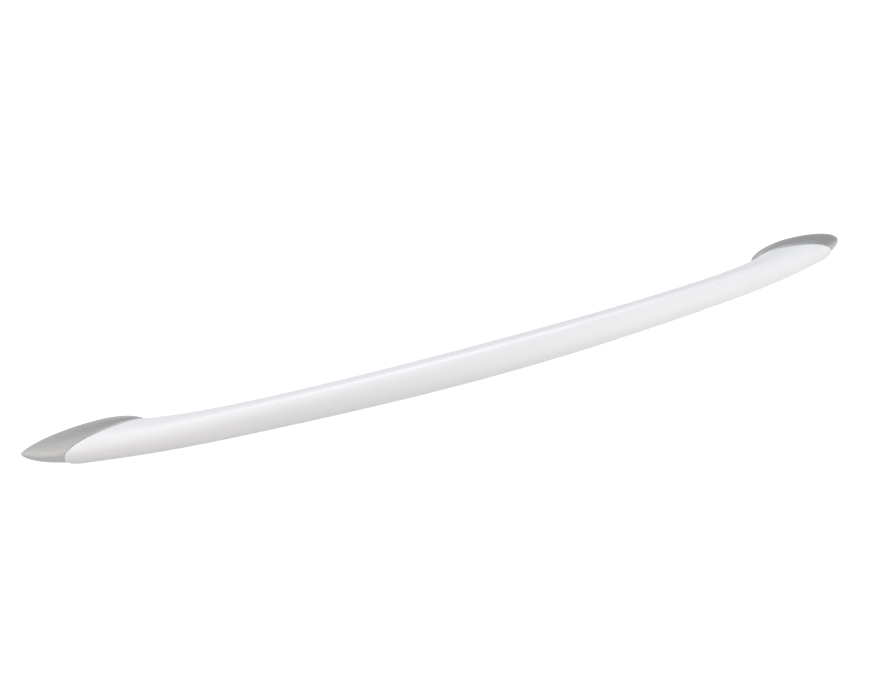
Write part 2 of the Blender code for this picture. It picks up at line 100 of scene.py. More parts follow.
def inset_loop(loop: Loop, normal: Vector, inset: float) -> Loop:
    """Moves each point of a flat loop inwards, in the loop's own plane.

    Args:
        loop: points of the outline.
        normal: direction that the loop's plane faces.
        inset: how far each point moves.

    Returns:
        The narrower outline.
    """
    centre = sum(loop, Vector()) / len(loop)
    result = []
    for index, point in enumerate(loop):
        along = loop[(index + 1) % len(loop)] - loop[index - 1]
        inwards = along.cross(normal).normalized()
        if inwards.dot(centre - point) < 0:
            inwards.negate()
        result.append(point + inwards * inset)
    return result


def rounded_edge(loop: Loop, normal: Vector, radius: float, steps: int) -> list[Loop]:
    """Loops of a rounded edge, from the side wall to a flat face.

    Args:
        loop: sharp outline that the edge rounds off.
        normal: direction that the flat face looks in.
        radius: of the rounding.
        steps: faces across the rounding.

    Returns:
        The loops, the one on the side wall first.
    """
    loops = []
    for step in range(steps + 1):
        turn = math.pi / 2 * step / steps
        edge = inset_loop(loop, normal, radius * (1 - math.cos(turn)))
        loops.append(moved(edge, -normal * radius * (1 - math.sin(turn))))
    return loops


def finished_mesh(name: str, builder: bmesh.types.BMesh) -> bpy.types.Mesh:
    """Turns what a builder holds into a mesh, and frees the builder.

    Args:
        name: of the new mesh.
        builder: holds the points and faces.

    Returns:
        The mesh.
    """
    mesh = bpy.data.meshes.new(name)
    builder.to_mesh(mesh)
    builder.free()
    return mesh


def skin(name: str, loops: Sequence[Loop], wrap: bool = False) -> bpy.types.Mesh:
    """Closed surface through loops of equal length.

    Args:
        name: of the new mesh.
        loops: rings of points, in order.
        wrap: joins the last ring to the first, in place of a flat face at each end.

    Returns:
        The mesh, with its faces pointing out.
    """
    builder = bmesh.new()
    rings = [[builder.verts.new(point) for point in loop] for loop in loops]
    count = len(rings[0])
    following_rings = rings[1:] + rings[:1] if wrap else rings[1:]
    for ring, following in zip(rings, following_rings):
        for index in range(count):
            after = (index + 1) % count
            builder.faces.new((ring[index], ring[after], following[after], following[index]))
    if not wrap:
        builder.faces.new(rings[-1])
        builder.faces.new(list(reversed(rings[0])))
    bmesh.ops.recalc_face_normals(builder, faces=builder.faces)
    return finished_mesh(name, builder)


def new_object(name: str, mesh: bpy.types.Mesh) -> bpy.types.Object:
    """Adds an object at the scene's origin that holds a mesh.

    Args:
        name: of the new object.
        mesh: that it holds.

    Returns:
        The object.
    """
    item = bpy.data.objects.new(name, mesh)
    bpy.context.scene.collection.objects.link(item)
    return item


def rod(name: str, start: Vector, end: Vector, radius: float, steps: int,
        end_radius: float | None = None) -> bpy.types.Object:
    """Round or tapered cutter between two points.

    Args:
        name: of the new object.
        start: centre of its first end.
        end: centre of its other end.
        radius: of its first end.
        steps: faces round it.
        end_radius: of its other end, where it tapers.

    Returns:
        The cutter.
    """
    axis = end - start
    turn = axis.to_track_quat("Z", "Y").to_matrix().to_4x4()
    place = Matrix.Translation((start + end) / 2) @ turn
    builder = bmesh.new()
    bmesh.ops.create_cone(builder, cap_ends=True, segments=steps, radius1=radius,
                          radius2=radius if end_radius is None else end_radius,
                          depth=axis.length, matrix=place)
    return new_object(name, finished_mesh(name, builder))


def drill(name: str, x: float, deep_y: float, door_y: float, radius: float, steps: int,
          door_radius: float | None = None) -> bpy.types.Object:
    """Rod that stands square to the door, in the plane that halves the handle's height.

    Args:
        name: of the new object.
        x: its place along the handle.
        deep_y: where it ends away from the door.
        door_y: where it ends on the door's side.
        radius: of its deep end.
        steps: faces round it.
        door_radius: of its end on the door's side, where it tapers.

    Returns:
        The cutter.
    """
    return rod(name, Vector((x, deep_y, 0)), Vector((x, door_y, 0)), radius, steps, door_radius)


def block(name: str, centre: Vector, size: tuple[float, float, float],
          tilt: float = 0.0) -> bpy.types.Object:
    """Square-edged cutter, rib or key.

    Args:
        name: of the new object.
        centre: of the block.
        size: along X, Y and Z before it is tilted.
        tilt: turn about the vertical, in radians.

    Returns:
        The block.
    """
    place = Matrix.Translation(centre) @ Matrix.Rotation(-tilt, 4, "Z") @ Matrix.Diagonal((*size, 1))
    builder = bmesh.new()
    bmesh.ops.create_cube(builder, size=1, matrix=place)
    return new_object(name, finished_mesh(name, builder))


def flip_side(item: bpy.types.Object) -> None:
    """Mirrors an object's mesh to the handle's other end."""
    item.data.transform(Matrix.Scale(-1, 4, Vector((1, 0, 0))))
    item.data.flip_normals()


def apply_modifiers(item: bpy.types.Object) -> None:
    """Makes the mesh that an object's modifiers give the object's own.

    Args:
        item: object that loses its modifiers and takes that mesh.
    """
    shaped = item.evaluated_get(bpy.context.evaluated_depsgraph_get())
    mesh = bpy.data.meshes.new_from_object(shaped)
    item.modifiers.clear()
    old = item.data
    item.data = mesh
    bpy.data.meshes.remove(old)


def combine(item: bpy.types.Object, others: Sequence[bpy.types.Object],
            operation: str = "DIFFERENCE") -> None:
    """Cuts the others' forms out of an object, or joins them on, and removes them.

    Args:
        item: object that is changed.
        others: cutters, or forms that are joined on.
        operation: name of the Boolean operation.
    """
    for other in others:
        boolean = item.modifiers.new(other.name, "BOOLEAN")
        boolean.operation = operation
        boolean.solver = "EXACT"
        boolean.object = other
    apply_modifiers(item)
    merge_slivers(item)
    for other in others:
        bpy.data.objects.remove(other)


def merge_slivers(item: bpy.types.Object) -> None:
    """Merges points that a cut has left almost on top of each other.

    Args:
        item: object whose mesh is cleaned.
    """
    builder = bmesh.new()
    builder.from_mesh(item.data)
    bmesh.ops.remove_doubles(builder, verts=builder.verts, dist=SLIVER)
    bmesh.ops.dissolve_degenerate(builder, edges=builder.edges, dist=SLIVER)
    builder.to_mesh(item.data)
    builder.free()


def open_edges(item: bpy.types.Object) -> int:
    """Counts the edges that don't join exactly two faces, of which a closed mesh has none.

    Args:
        item: object whose mesh is examined.

    Returns:
        The number of such edges.
    """
    builder = bmesh.new()
    builder.from_mesh(item.data)
    count = sum(not edge.is_manifold for edge in builder.edges)
    builder.free()
    return count


def smooth(item: bpy.types.Object, crisp_angle: float) -> None:
    """Shades an object smooth, with flat faces kept flat and sharp edges kept crisp.

    Args:
        item: object that is shaded.
        crisp_angle: bend in degrees from which an edge counts as sharp.
    """
    item.data.shade_smooth()
    item.data.set_sharp_from_angle(angle=math.radians(crisp_angle))
    weighted = item.modifiers.new("flat faces", "WEIGHTED_NORMAL")
    weighted.keep_sharp = True
    apply_modifiers(item)


def linear(colour: str) -> tuple[float, float, float, float]:
    """Turns an sRGB colour into the linear one that the shaders and lamps take.

    Args:
        colour: six hex digits.

    Returns:
        Linear red, green and blue, and a full alpha.
    """
    channels = [int(colour[place:place + 2], 16) / 255 for place in (0, 2, 4)]
    red, green, blue = [value / 12.92 if value <= 0.04045 else ((value + 0.055) / 1.055) ** 2.4
                        for value in channels]
    return red, green, blue, 1.0


def add_node(tree: bpy.types.NodeTree, kind: str, inputs: dict[str | int, object],
             **settings: object) -> bpy.types.Node:
    """Adds a node with its settings, and sets or links its inputs.

    Args:
        tree: node tree that takes the node.
        kind: Blender's name of the node type.
        inputs: for each socket, its value, or the output socket that feeds it.
        settings: the node's own attributes.

    Returns:
        The new node.
    """
    made = tree.nodes.new(kind)
    for name, value in settings.items():
        setattr(made, name, value)
    for socket, value in inputs.items():
        if isinstance(value, bpy.types.NodeSocket):
            tree.links.new(value, made.inputs[socket])
        else:
            made.inputs[socket].default_value = value
    return made


@dataclass(frozen=True)
class Finish:
    """What every finish shares: its name and the shader's plain values."""

    name: str
    colour: str
    roughness: float
    metallic: float = 0.0
    ior: float | None = None

    def start(self) -> tuple[bpy.types.Material, bpy.types.NodeTree, bpy.types.Node]:
        """Adds a material that has the finish's plain values and no pattern yet.

        Returns:
            The material, its node tree and its shader.
        """
        made = bpy.data.materials.new(self.name)
        made.use_nodes = True
        shader = made.node_tree.nodes["Principled BSDF"]
        shader.inputs["Base Color"].default_value = linear(self.colour)
        shader.inputs["Roughness"].default_value = self.roughness
        shader.inputs["Metallic"].default_value = self.metallic
        if self.ior is not None:
            shader.inputs["IOR"].default_value = self.ior
        made.diffuse_color = linear(self.colour)
        return made, made.node_tree, shader


@dataclass(frozen=True)
class MouldedWhitePlastic(Finish):
    """White PBT, injection moulded in a polished tool: satin gloss with a faint orange peel."""

    name: str = "white moulded PBT"
    colour: str = "F2F2F4"
    roughness: float = 0.37
    ior: float = 1.5
    shade: str = "EFEFF0"       # the slightly duller patches that the flow of the melt leaves
    flow_mm: float = 45.0
    flow_octaves: float = 2.0
    peel_mm: float = 1.6        # drawn coarser than the real 0.5 mm, so that it shows at all
    peel_octaves: float = 1.5
    peel_height_mm: float = 0.002
    polish_mm: float = 12.0     # patches of slightly better and worse tool polish
    polish_octaves: float = 3.0
    polish_spread: float = 0.03

    def material(self) -> bpy.types.Material:
        """Lays patches of colour, patches of polish and orange peel over each other.

        Returns:
            The finish as a material.
        """
        made, tree, shader = self.start()
        place = add_node(tree, "ShaderNodeTexCoord", {}).outputs["Object"]

        # The melt's flow leaves long patches that are a little duller
        flow = add_node(tree, "ShaderNodeTexNoise",
                        {"Vector": place, "Scale": 1 / (self.flow_mm * MM),
                         "Detail": self.flow_octaves})
        tint = add_node(tree, "ShaderNodeMix",
                        {"Factor": flow.outputs["Fac"], "A": linear(self.colour),
                         "B": linear(self.shade)}, data_type="RGBA")
        tree.links.new(tint.outputs["Result"], shader.inputs["Base Color"])

        # The polish of the tool varies, which blurs the highlights unevenly
        polish = add_node(tree, "ShaderNodeTexNoise",
                          {"Vector": place, "Scale": 1 / (self.polish_mm * MM),
                           "Detail": self.polish_octaves})
        spread = add_node(tree, "ShaderNodeMapRange",
                          {"Value": polish.outputs["Fac"],
                           "To Min": self.roughness - self.polish_spread,
                           "To Max": self.roughness + self.polish_spread})
        tree.links.new(spread.outputs["Result"], shader.inputs["Roughness"])

        # Orange peel: a very low, fine waviness that keeps the highlights from being perfect
        peel = add_node(tree, "ShaderNodeTexNoise",
                        {"Vector": place, "Scale": 1 / (self.peel_mm * MM),
                         "Detail": self.peel_octaves})
        bump = add_node(tree, "ShaderNodeBump",
                        {"Height": peel.outputs["Fac"], "Strength": 1.0,
                         "Distance": self.peel_height_mm * MM})
        tree.links.new(bump.outputs["Normal"], shader.inputs["Normal"])
        return made


@dataclass(frozen=True)
class SilverPaint(Finish):
    """Silver-grey satin paint on moulded ABS: metal flakes in a clear binder."""

    name: str = "silver painted ABS"
    colour: str = "B3B3B2"
    roughness: float = 0.36
    metallic: float = 0.44
    light_flake: str = "BEBEBD"
    flake_mm: float = 0.5       # real flakes are 0.03 mm, drawn coarse enough to show
    flake_height_mm: float = 0.003
    mottle_mm: float = 9.0      # soft clouds where the spray lies thicker
    mottle_octaves: float = 2.0
    mottle_spread: float = 0.03

    def material(self) -> bpy.types.Material:
        """Lays flakes that catch the light and soft clouds of the spray over each other.

        Returns:
            The finish as a material.
        """
        made, tree, shader = self.start()
        place = add_node(tree, "ShaderNodeTexCoord", {}).outputs["Object"]

        # Each flake has its own brightness, which gives a fine sparkle
        flake = add_node(tree, "ShaderNodeTexVoronoi",
                         {"Vector": place, "Scale": 1 / (self.flake_mm * MM)})
        level = add_node(tree, "ShaderNodeSeparateColor", {"Color": flake.outputs["Color"]})
        tint = add_node(tree, "ShaderNodeMix",
                        {"Factor": level.outputs["Red"], "A": linear(self.colour),
                         "B": linear(self.light_flake)}, data_type="RGBA")
        tree.links.new(tint.outputs["Result"], shader.inputs["Base Color"])

        # Where the spray lies thicker the paint levels out and shines more
        mottle = add_node(tree, "ShaderNodeTexNoise",
                          {"Vector": place, "Scale": 1 / (self.mottle_mm * MM),
                           "Detail": self.mottle_octaves})
        spread = add_node(tree, "ShaderNodeMapRange",
                          {"Value": mottle.outputs["Fac"],
                           "To Min": self.roughness - self.mottle_spread,
                           "To Max": self.roughness + self.mottle_spread})
        tree.links.new(spread.outputs["Result"], shader.inputs["Roughness"])

        # Flakes lie at slightly different tilts
        bump = add_node(tree, "ShaderNodeBump",
                        {"Height": level.outputs["Green"], "Strength": 1.0,
                         "Distance": self.flake_height_mm * MM})
        tree.links.new(bump.outputs["Normal"], shader.inputs["Normal"])
        return made


@dataclass(frozen=True)
class TurnedBrass(Finish):
    """Free-cutting brass as it comes off the lathe: fine rings left by the tool."""

    name: str = "turned brass"
    colour: str = "C9A35A"
    roughness: float = 0.3
    metallic: float = 1.0
    tarnish: str = "B08C4C"
    ring_mm: float = 0.25       # feed of the tool for each turn
    ring_height_mm: float = 0.004
    ring_strength: float = 0.6  # share of the rings' tilt that shows
    tarnish_mm: float = 2.5
    tarnish_octaves: float = 3.0

    def material(self) -> bpy.types.Material:
        """Lays tool rings along the piece's axis over slight tarnish.

        Returns:
            The finish as a material.
        """
        made, tree, shader = self.start()
        place = add_node(tree, "ShaderNodeTexCoord", {}).outputs["Object"]
        cloud = add_node(tree, "ShaderNodeTexNoise",
                         {"Vector": place, "Scale": 1 / (self.tarnish_mm * MM),
                          "Detail": self.tarnish_octaves})
        tint = add_node(tree, "ShaderNodeMix",
                        {"Factor": cloud.outputs["Fac"], "A": linear(self.colour),
                         "B": linear(self.tarnish)}, data_type="RGBA")
        tree.links.new(tint.outputs["Result"], shader.inputs["Base Color"])
        wave = add_node(tree, "ShaderNodeTexWave",
                        {"Vector": place, "Scale": 1 / (self.ring_mm * MM) / math.tau},
                        bands_direction="Y")
        bump = add_node(tree, "ShaderNodeBump",
                        {"Height": wave.outputs["Fac"], "Strength": self.ring_strength,
                         "Distance": self.ring_height_mm * MM})
        tree.links.new(bump.outputs["Normal"], shader.inputs["Normal"])
        return made


@dataclass(frozen=True)
class ZincPlate(Finish):
    """Bright zinc plate on cold-headed steel: bluish white with an uneven, slightly grainy sheen."""

    name: str = "zinc plated steel"
    colour: str = "B9BDC2"
    roughness: float = 0.33
    metallic: float = 1.0
    dull: str = "A3A7AC"
    grain_mm: float = 0.4
    grain_octaves: float = 4.0
    grain_height_mm: float = 0.003
    grain_strength: float = 0.7     # share of the grain's tilt that shows

    def material(self) -> bpy.types.Material:
        """Lets one grain vary both the colour and the tilt.

        Returns:
            The finish as a material.
        """
        made, tree, shader = self.start()
        place = add_node(tree, "ShaderNodeTexCoord", {}).outputs["Object"]
        grain = add_node(tree, "ShaderNodeTexNoise",
                         {"Vector": place, "Scale": 1 / (self.grain_mm * MM),
                          "Detail": self.grain_octaves})
        tint = add_node(tree, "ShaderNodeMix",
                        {"Factor": grain.outputs["Fac"], "A": linear(self.colour),
                         "B": linear(self.dull)}, data_type="RGBA")
        tree.links.new(tint.outputs["Result"], shader.inputs["Base Color"])
        bump = add_node(tree, "ShaderNodeBump",
                        {"Height": grain.outputs["Fac"], "Strength": self.grain_strength,
                         "Distance": self.grain_height_mm * MM})
        tree.links.new(bump.outputs["Normal"], shader.inputs["Normal"])
        return made


@dataclass(frozen=True)
class GripForm:
    """The grip's surface: a bowed centre line, and the section that runs along it."""

    fixing_x: float = 225 * MM      # half of the spacing of the two fixing screws
    stand_off: float = 30 * MM      # door to centre line at the middle
    bend_radius: float = 333 * MM   # of the turn towards the door that each end adds to the bow
    bend_start: float = 91 * MM     # from the fixing screw back to where that turn begins
    bend_ease: float = 70 * MM      # length over which it comes in
    power: float = 2.3              # of the superellipse: 2 is an ellipse, more is fuller
    middle_depth: float = 15.2 * MM
    waist_depth: float = 14.4 * MM
    seat_depth: float = 22.8 * MM
    waist_to_fixing: float = 85 * MM
    middle_height: float = 19.4 * MM
    end_height: float = 16.2 * MM
    seat_stand_off: float = 9.6 * MM
    seat_tilt: float = math.radians(8)
    land: float = 1.2 * MM          # straight edge of the bar along its seat
    fan_run: float = 50 * MM        # over this length the rings lean towards the seat's slant
    search_steps: int = 30          # halvings in the search for a line's place on the seat

    @property
    def seat_normal(self) -> Vector:
        """Direction in which the right-hand seat faces."""
        return Vector((math.sin(self.seat_tilt), math.cos(self.seat_tilt), 0))

    @property
    def seat_along(self) -> Vector:
        """Direction along the right-hand seat, towards the handle's end."""
        return Vector((math.cos(self.seat_tilt), -math.sin(self.seat_tilt), 0))

    @property
    def seat_point(self) -> Vector:
        """Where the fixing screw's axis meets the right-hand seat."""
        return Vector((self.fixing_x, -self.seat_stand_off, 0))

    @property
    def fan_x(self) -> float:
        """Where the rings begin to lean."""
        return self.fixing_x - self.fan_run

    @property
    def bow(self) -> float:
        """Curvature that brings the centre line to the seat just at the fixing screw."""
        drop = self.stand_off - self.seat_stand_off - self.end_turn(self.fixing_x)[0]
        return 2 * drop / self.fixing_x ** 2

    def end_turn(self, x: float) -> tuple[float, float]:
        """What the turn at the handle's end has added to the centre line.

        Args:
            x: place along the handle.

        Returns:
            The rise towards the door, and the slope.
        """
        share = (x - (self.fixing_x - self.bend_start)) / self.bend_ease
        eased = min(max(share, 0.0), 1.0)
        past = max(share - 1, 0.0)
        # The curvature comes in as a smooth step, and slope and rise are its integrals
        slope = eased ** 3 - eased ** 4 / 2
        rise = eased ** 4 / 4 - eased ** 5 / 10 + slope * past + past ** 2 / 2
        slope += past
        return rise * self.bend_ease ** 2 / self.bend_radius, slope * self.bend_ease / self.bend_radius

    def centre_line(self, x: float) -> tuple[float, float]:
        """Y and heading of the centre line at a place along the handle."""
        rise, slope = self.end_turn(x)
        return -self.stand_off + self.bow * x * x / 2 + rise, math.atan(self.bow * x + slope)

    def half_depth(self, x: float) -> float:
        """Half of the section's size square to the centre line.

        Args:
            x: place along the handle.

        Returns:
            The half depth, which is least at the waist.
        """
        waist_x = self.fixing_x - self.waist_to_fixing
        if x < waist_x:
            slimmed = (self.middle_depth - self.waist_depth) * (1 - ease(x / waist_x))
            return (self.waist_depth + slimmed) / 2
        flare = (x - waist_x) / self.waist_to_fixing
        return (self.waist_depth + (self.seat_depth - self.waist_depth) * flare ** 2) / 2

    def half_height(self, x: float) -> float:
        """Half of the section's height."""
        taller = (self.middle_height - self.end_height) * (1 - ease(x / self.fixing_x))
        return (self.end_height + taller) / 2

    def point(self, x: float, angle: float, wall: float = 0.0, share: float = 1.0) -> Vector:
        """Point of the grip's surface, or of one that lies inside it.

        Args:
            x: place along the centre line.
            angle: 0 on the door's side, a quarter turn on top.
            wall: how far inside the surface.
            share: of the section's size that is kept.

        Returns:
            The point on the right-hand half.
        """
        y, heading = self.centre_line(x)
        cosine, sine = math.cos(angle), math.sin(angle)
        reach = (abs(cosine) ** self.power + abs(sine) ** self.power) ** (-1 / self.power)
        across = (self.half_depth(x) - wall) * share * cosine * reach
        up = (self.half_height(x) - wall) * share * sine * reach
        return Vector((x - across * math.sin(heading), y + across * math.cos(heading), up))

    def ring(self, x: float, count: int, wall: float = 0.0, share: float = 1.0) -> Loop:
        """Section at one place along the centre line."""
        return [self.point(x, angle, wall, share) for angle in ring_angles(count)]

    def x_at_seat(self, angle: float, offset: float, wall: float = 0.0) -> float:
        """Finds where one lengthwise line of the grip reaches the seat.

        Args:
            angle: that the line keeps round the section.
            offset: distance past the seat, on the door's side.
            wall: how far the line lies inside the surface.

        Returns:
            The place along the centre line.
        """
        low, high = self.fan_x, self.fixing_x + 2 * self.fan_run
        for _ in range(self.search_steps):
            middle = (low + high) / 2
            reached = (self.point(middle, angle, wall) - self.seat_point).dot(self.seat_normal)
            if reached < offset:
                low = middle
            else:
                high = middle
        return low

    def seat_outline(self, shift: float, count: int) -> Loop:
        """Outline of the bar's end on its seat, or that far past it on the door's side."""
        edge = [self.point(self.x_at_seat(angle, -self.land), angle) for angle in ring_angles(count)]
        return moved(edge, self.seat_normal * (self.land + shift))


@dataclass(frozen=True)
class JointSizes:
    """Sizes that the bar, the caps and their fasteners share."""

    gap: float = 0.3 * MM               # between any two pieces that touch
    insert_radius: float = 2.8 * MM
    insert_length: float = 7.0 * MM
    insert_recess: float = 0.6 * MM     # its face lies this far below the seat
    screw_inboard: float = 15 * MM      # cap screw, from the fixing screw
    screw_radius: float = 1.45 * MM
    screw_length: float = 9.5 * MM
    screw_head_radius: float = 2.7 * MM
    screw_head_height: float = 2.0 * MM
    post_stand_off: float = 4.6 * MM    # door to the face that the screw's head presses on
    round_steps: int = 64               # faces round a hole, sleeve or post

    @property
    def pilot_radius(self) -> float:
        """Of the hole that the cap screw runs in."""
        return self.screw_radius + self.gap


@dataclass(frozen=True)
class Piece:
    """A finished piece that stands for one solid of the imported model."""

    item: bpy.types.Object
    node: str                   # name of the solid
    slot: str                   # name of the finish in the record

    def dress(self, finish: bpy.types.Material) -> Piece:
        """Gives the piece its finish and its place in the frame.

        Args:
            finish: material that the piece wears.

        Returns:
            The piece itself.
        """
        item = self.item
        item.data.materials.clear()
        item.data.materials.append(finish)
        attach(item, BODY)
        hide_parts(self.node)
        return self

    def report(self) -> None:
        """Logs the piece's faces, its open edges and how far it leaves its solid's box."""
        low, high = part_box(self.node)
        points = [vertex.co for vertex in self.item.data.vertices]
        past = max(max(max(low[axis] - point[axis], point[axis] - high[axis]) for axis in range(3))
                   for point in points)
        LOG.info("%s: %d faces, %d open edges, %.2f mm past its solid's box", self.item.name,
                 len(self.item.data.polygons), open_edges(self.item), past / MM)


@dataclass
class GripBar:
    """The white bar: one moulding with a gas channel along the grip and a pocket at each end."""

    form: GripForm
    joint: JointSizes
    points: int = 112               # round each loop
    ring_spacing: float = 2.2 * MM
    end_rings: int = 60             # between the first leaning ring and the seat
    edge_radius: float = 0.6 * MM
    edge_steps: int = 8
    channel_wall: float = 3.0 * MM
    channel_to_fixing: float = 33 * MM  # from the fixing screw back to the channel's end
    channel_dome: float = 7 * MM    # length of the dome
    pocket_wall: float = 2.6 * MM
    pocket_to_fixing: float = 8 * MM    # from the fixing screw back to the pocket's start
    gas_hole_radius: float = 1.2 * MM
    rib: float = 1.5 * MM
    boss_wall: float = 1.7 * MM
    core_points: int = 56
    core_rings: int = 40
    run_out: float = 6 * MM         # how far a cutter runs past the surface that it opens
    crisp_angle: float = 18         # degrees

    @property
    def dome_x(self) -> float:
        """Where the dome at the channel's end begins."""
        return self.form.fixing_x - self.channel_to_fixing - self.channel_dome

    def build(self, finish: bpy.types.Material) -> Piece:
        """Models the bar and dresses it.

        Args:
            finish: material of the bar.

        Returns:
            The bar.
        """
        bar = new_object("grip_bar_moulding", skin("grip_bar_moulding", self.shell_loops()))
        cutters = [new_object("channel", skin("channel", self.channel_loops()))]
        for side in Side:
            cutters += self.end_cutters(side)
        combine(bar, cutters)
        smooth(bar, self.crisp_angle)
        return Piece(bar, "grip_bar", "white_plastic").dress(finish)

    def both_ends(self, half: list[Loop]) -> list[Loop]:
        """The loops of the right-hand half, with their mirror images ahead of them."""
        mirrored = [[Vector((-point.x, point.y, point.z)) for point in loop] for loop in half[1:]]
        return list(reversed(mirrored)) + half

    def shell_loops(self) -> list[Loop]:
        """Lays out the outer form of the bar.

        Returns:
            Its loops, from the left seat to the right one.
        """
        form = self.form
        count = round(form.fan_x / self.ring_spacing)
        half = [form.ring(form.fan_x * step / count, self.points) for step in range(count)]
        ends = [form.x_at_seat(angle, -form.land) for angle in ring_angles(self.points)]
        for step in range(self.end_rings + 1):
            share = step / self.end_rings
            half.append([form.point(form.fan_x + (end - form.fan_x) * share, angle)
                         for angle, end in zip(ring_angles(self.points), ends)])
        outline = form.seat_outline(0.0, self.points)
        half += rounded_edge(outline, form.seat_normal, self.edge_radius, self.edge_steps)
        return self.both_ends(half)

    def channel_loops(self) -> list[Loop]:
        """Lays out the hollow that the gas leaves along the grip, with a dome at each end.

        Returns:
            Its loops, from left to right.
        """
        form = self.form
        half = [form.ring(self.dome_x * step / self.core_rings, self.core_points, self.channel_wall)
                for step in range(self.core_rings + 1)]
        for step in range(1, self.edge_steps):
            turn = math.pi / 2 * step / self.edge_steps
            x = self.dome_x + self.channel_dome * math.sin(turn)
            half.append(form.ring(x, self.core_points, self.channel_wall, math.cos(turn)))
        return self.both_ends(half)

    def end_cutters(self, side: Side) -> list[bpy.types.Object]:
        """Models what is taken out of one end of the bar.

        Args:
            side: end of the handle.

        Returns:
            The cutters: pocket, insert hole, cap screw hole and gas hole.
        """
        form, joint, steps = self.form, self.joint, self.joint.round_steps
        start = form.fixing_x - self.pocket_to_fixing
        ends = [max(form.x_at_seat(angle, self.run_out, self.pocket_wall), start + self.rib)
                for angle in ring_angles(self.core_points)]
        loops = []
        for step in range(self.edge_steps + 1):
            share = step / self.edge_steps
            loops.append([form.point(start + (end - start) * share, angle, self.pocket_wall)
                          for angle, end in zip(ring_angles(self.core_points), ends)])
        pocket = new_object("pocket", skin("pocket", loops))

        hole_radius = joint.insert_radius + joint.gap
        boss_radius = hole_radius + self.boss_wall
        boss = drill("boss", form.fixing_x, -form.stand_off, self.run_out, boss_radius, steps)
        rib = block("rib", Vector((form.fixing_x, -form.stand_off, 0)),
                    (self.rib, 2 * form.stand_off, form.end_height))
        combine(pocket, [boss, rib])

        insert_floor = form.seat_stand_off + joint.insert_recess + joint.insert_length + joint.gap
        insert_hole = drill("insert_hole", form.fixing_x, -insert_floor, self.run_out,
                            hole_radius, steps)
        screw_floor = joint.post_stand_off + joint.screw_length + joint.gap
        screw_hole = drill("screw_hole", form.fixing_x - joint.screw_inboard, -screw_floor,
                           self.run_out, joint.pilot_radius, steps)
        pocket_x = form.fixing_x - boss_radius - joint.gap
        gas_start = Vector((self.dome_x, form.centre_line(self.dome_x)[0] - self.gas_hole_radius, 0))
        gas_y = form.centre_line(pocket_x)[0] - form.half_depth(pocket_x) / 2
        gas_hole = rod("gas_hole", gas_start, Vector((pocket_x, gas_y, 0)), self.gas_hole_radius,
                       steps // 2)
        cutters = [pocket, insert_hole, screw_hole, gas_hole]
        if side is Side.LEFT:
            for cutter in cutters:
                flip_side(cutter)
        return cutters


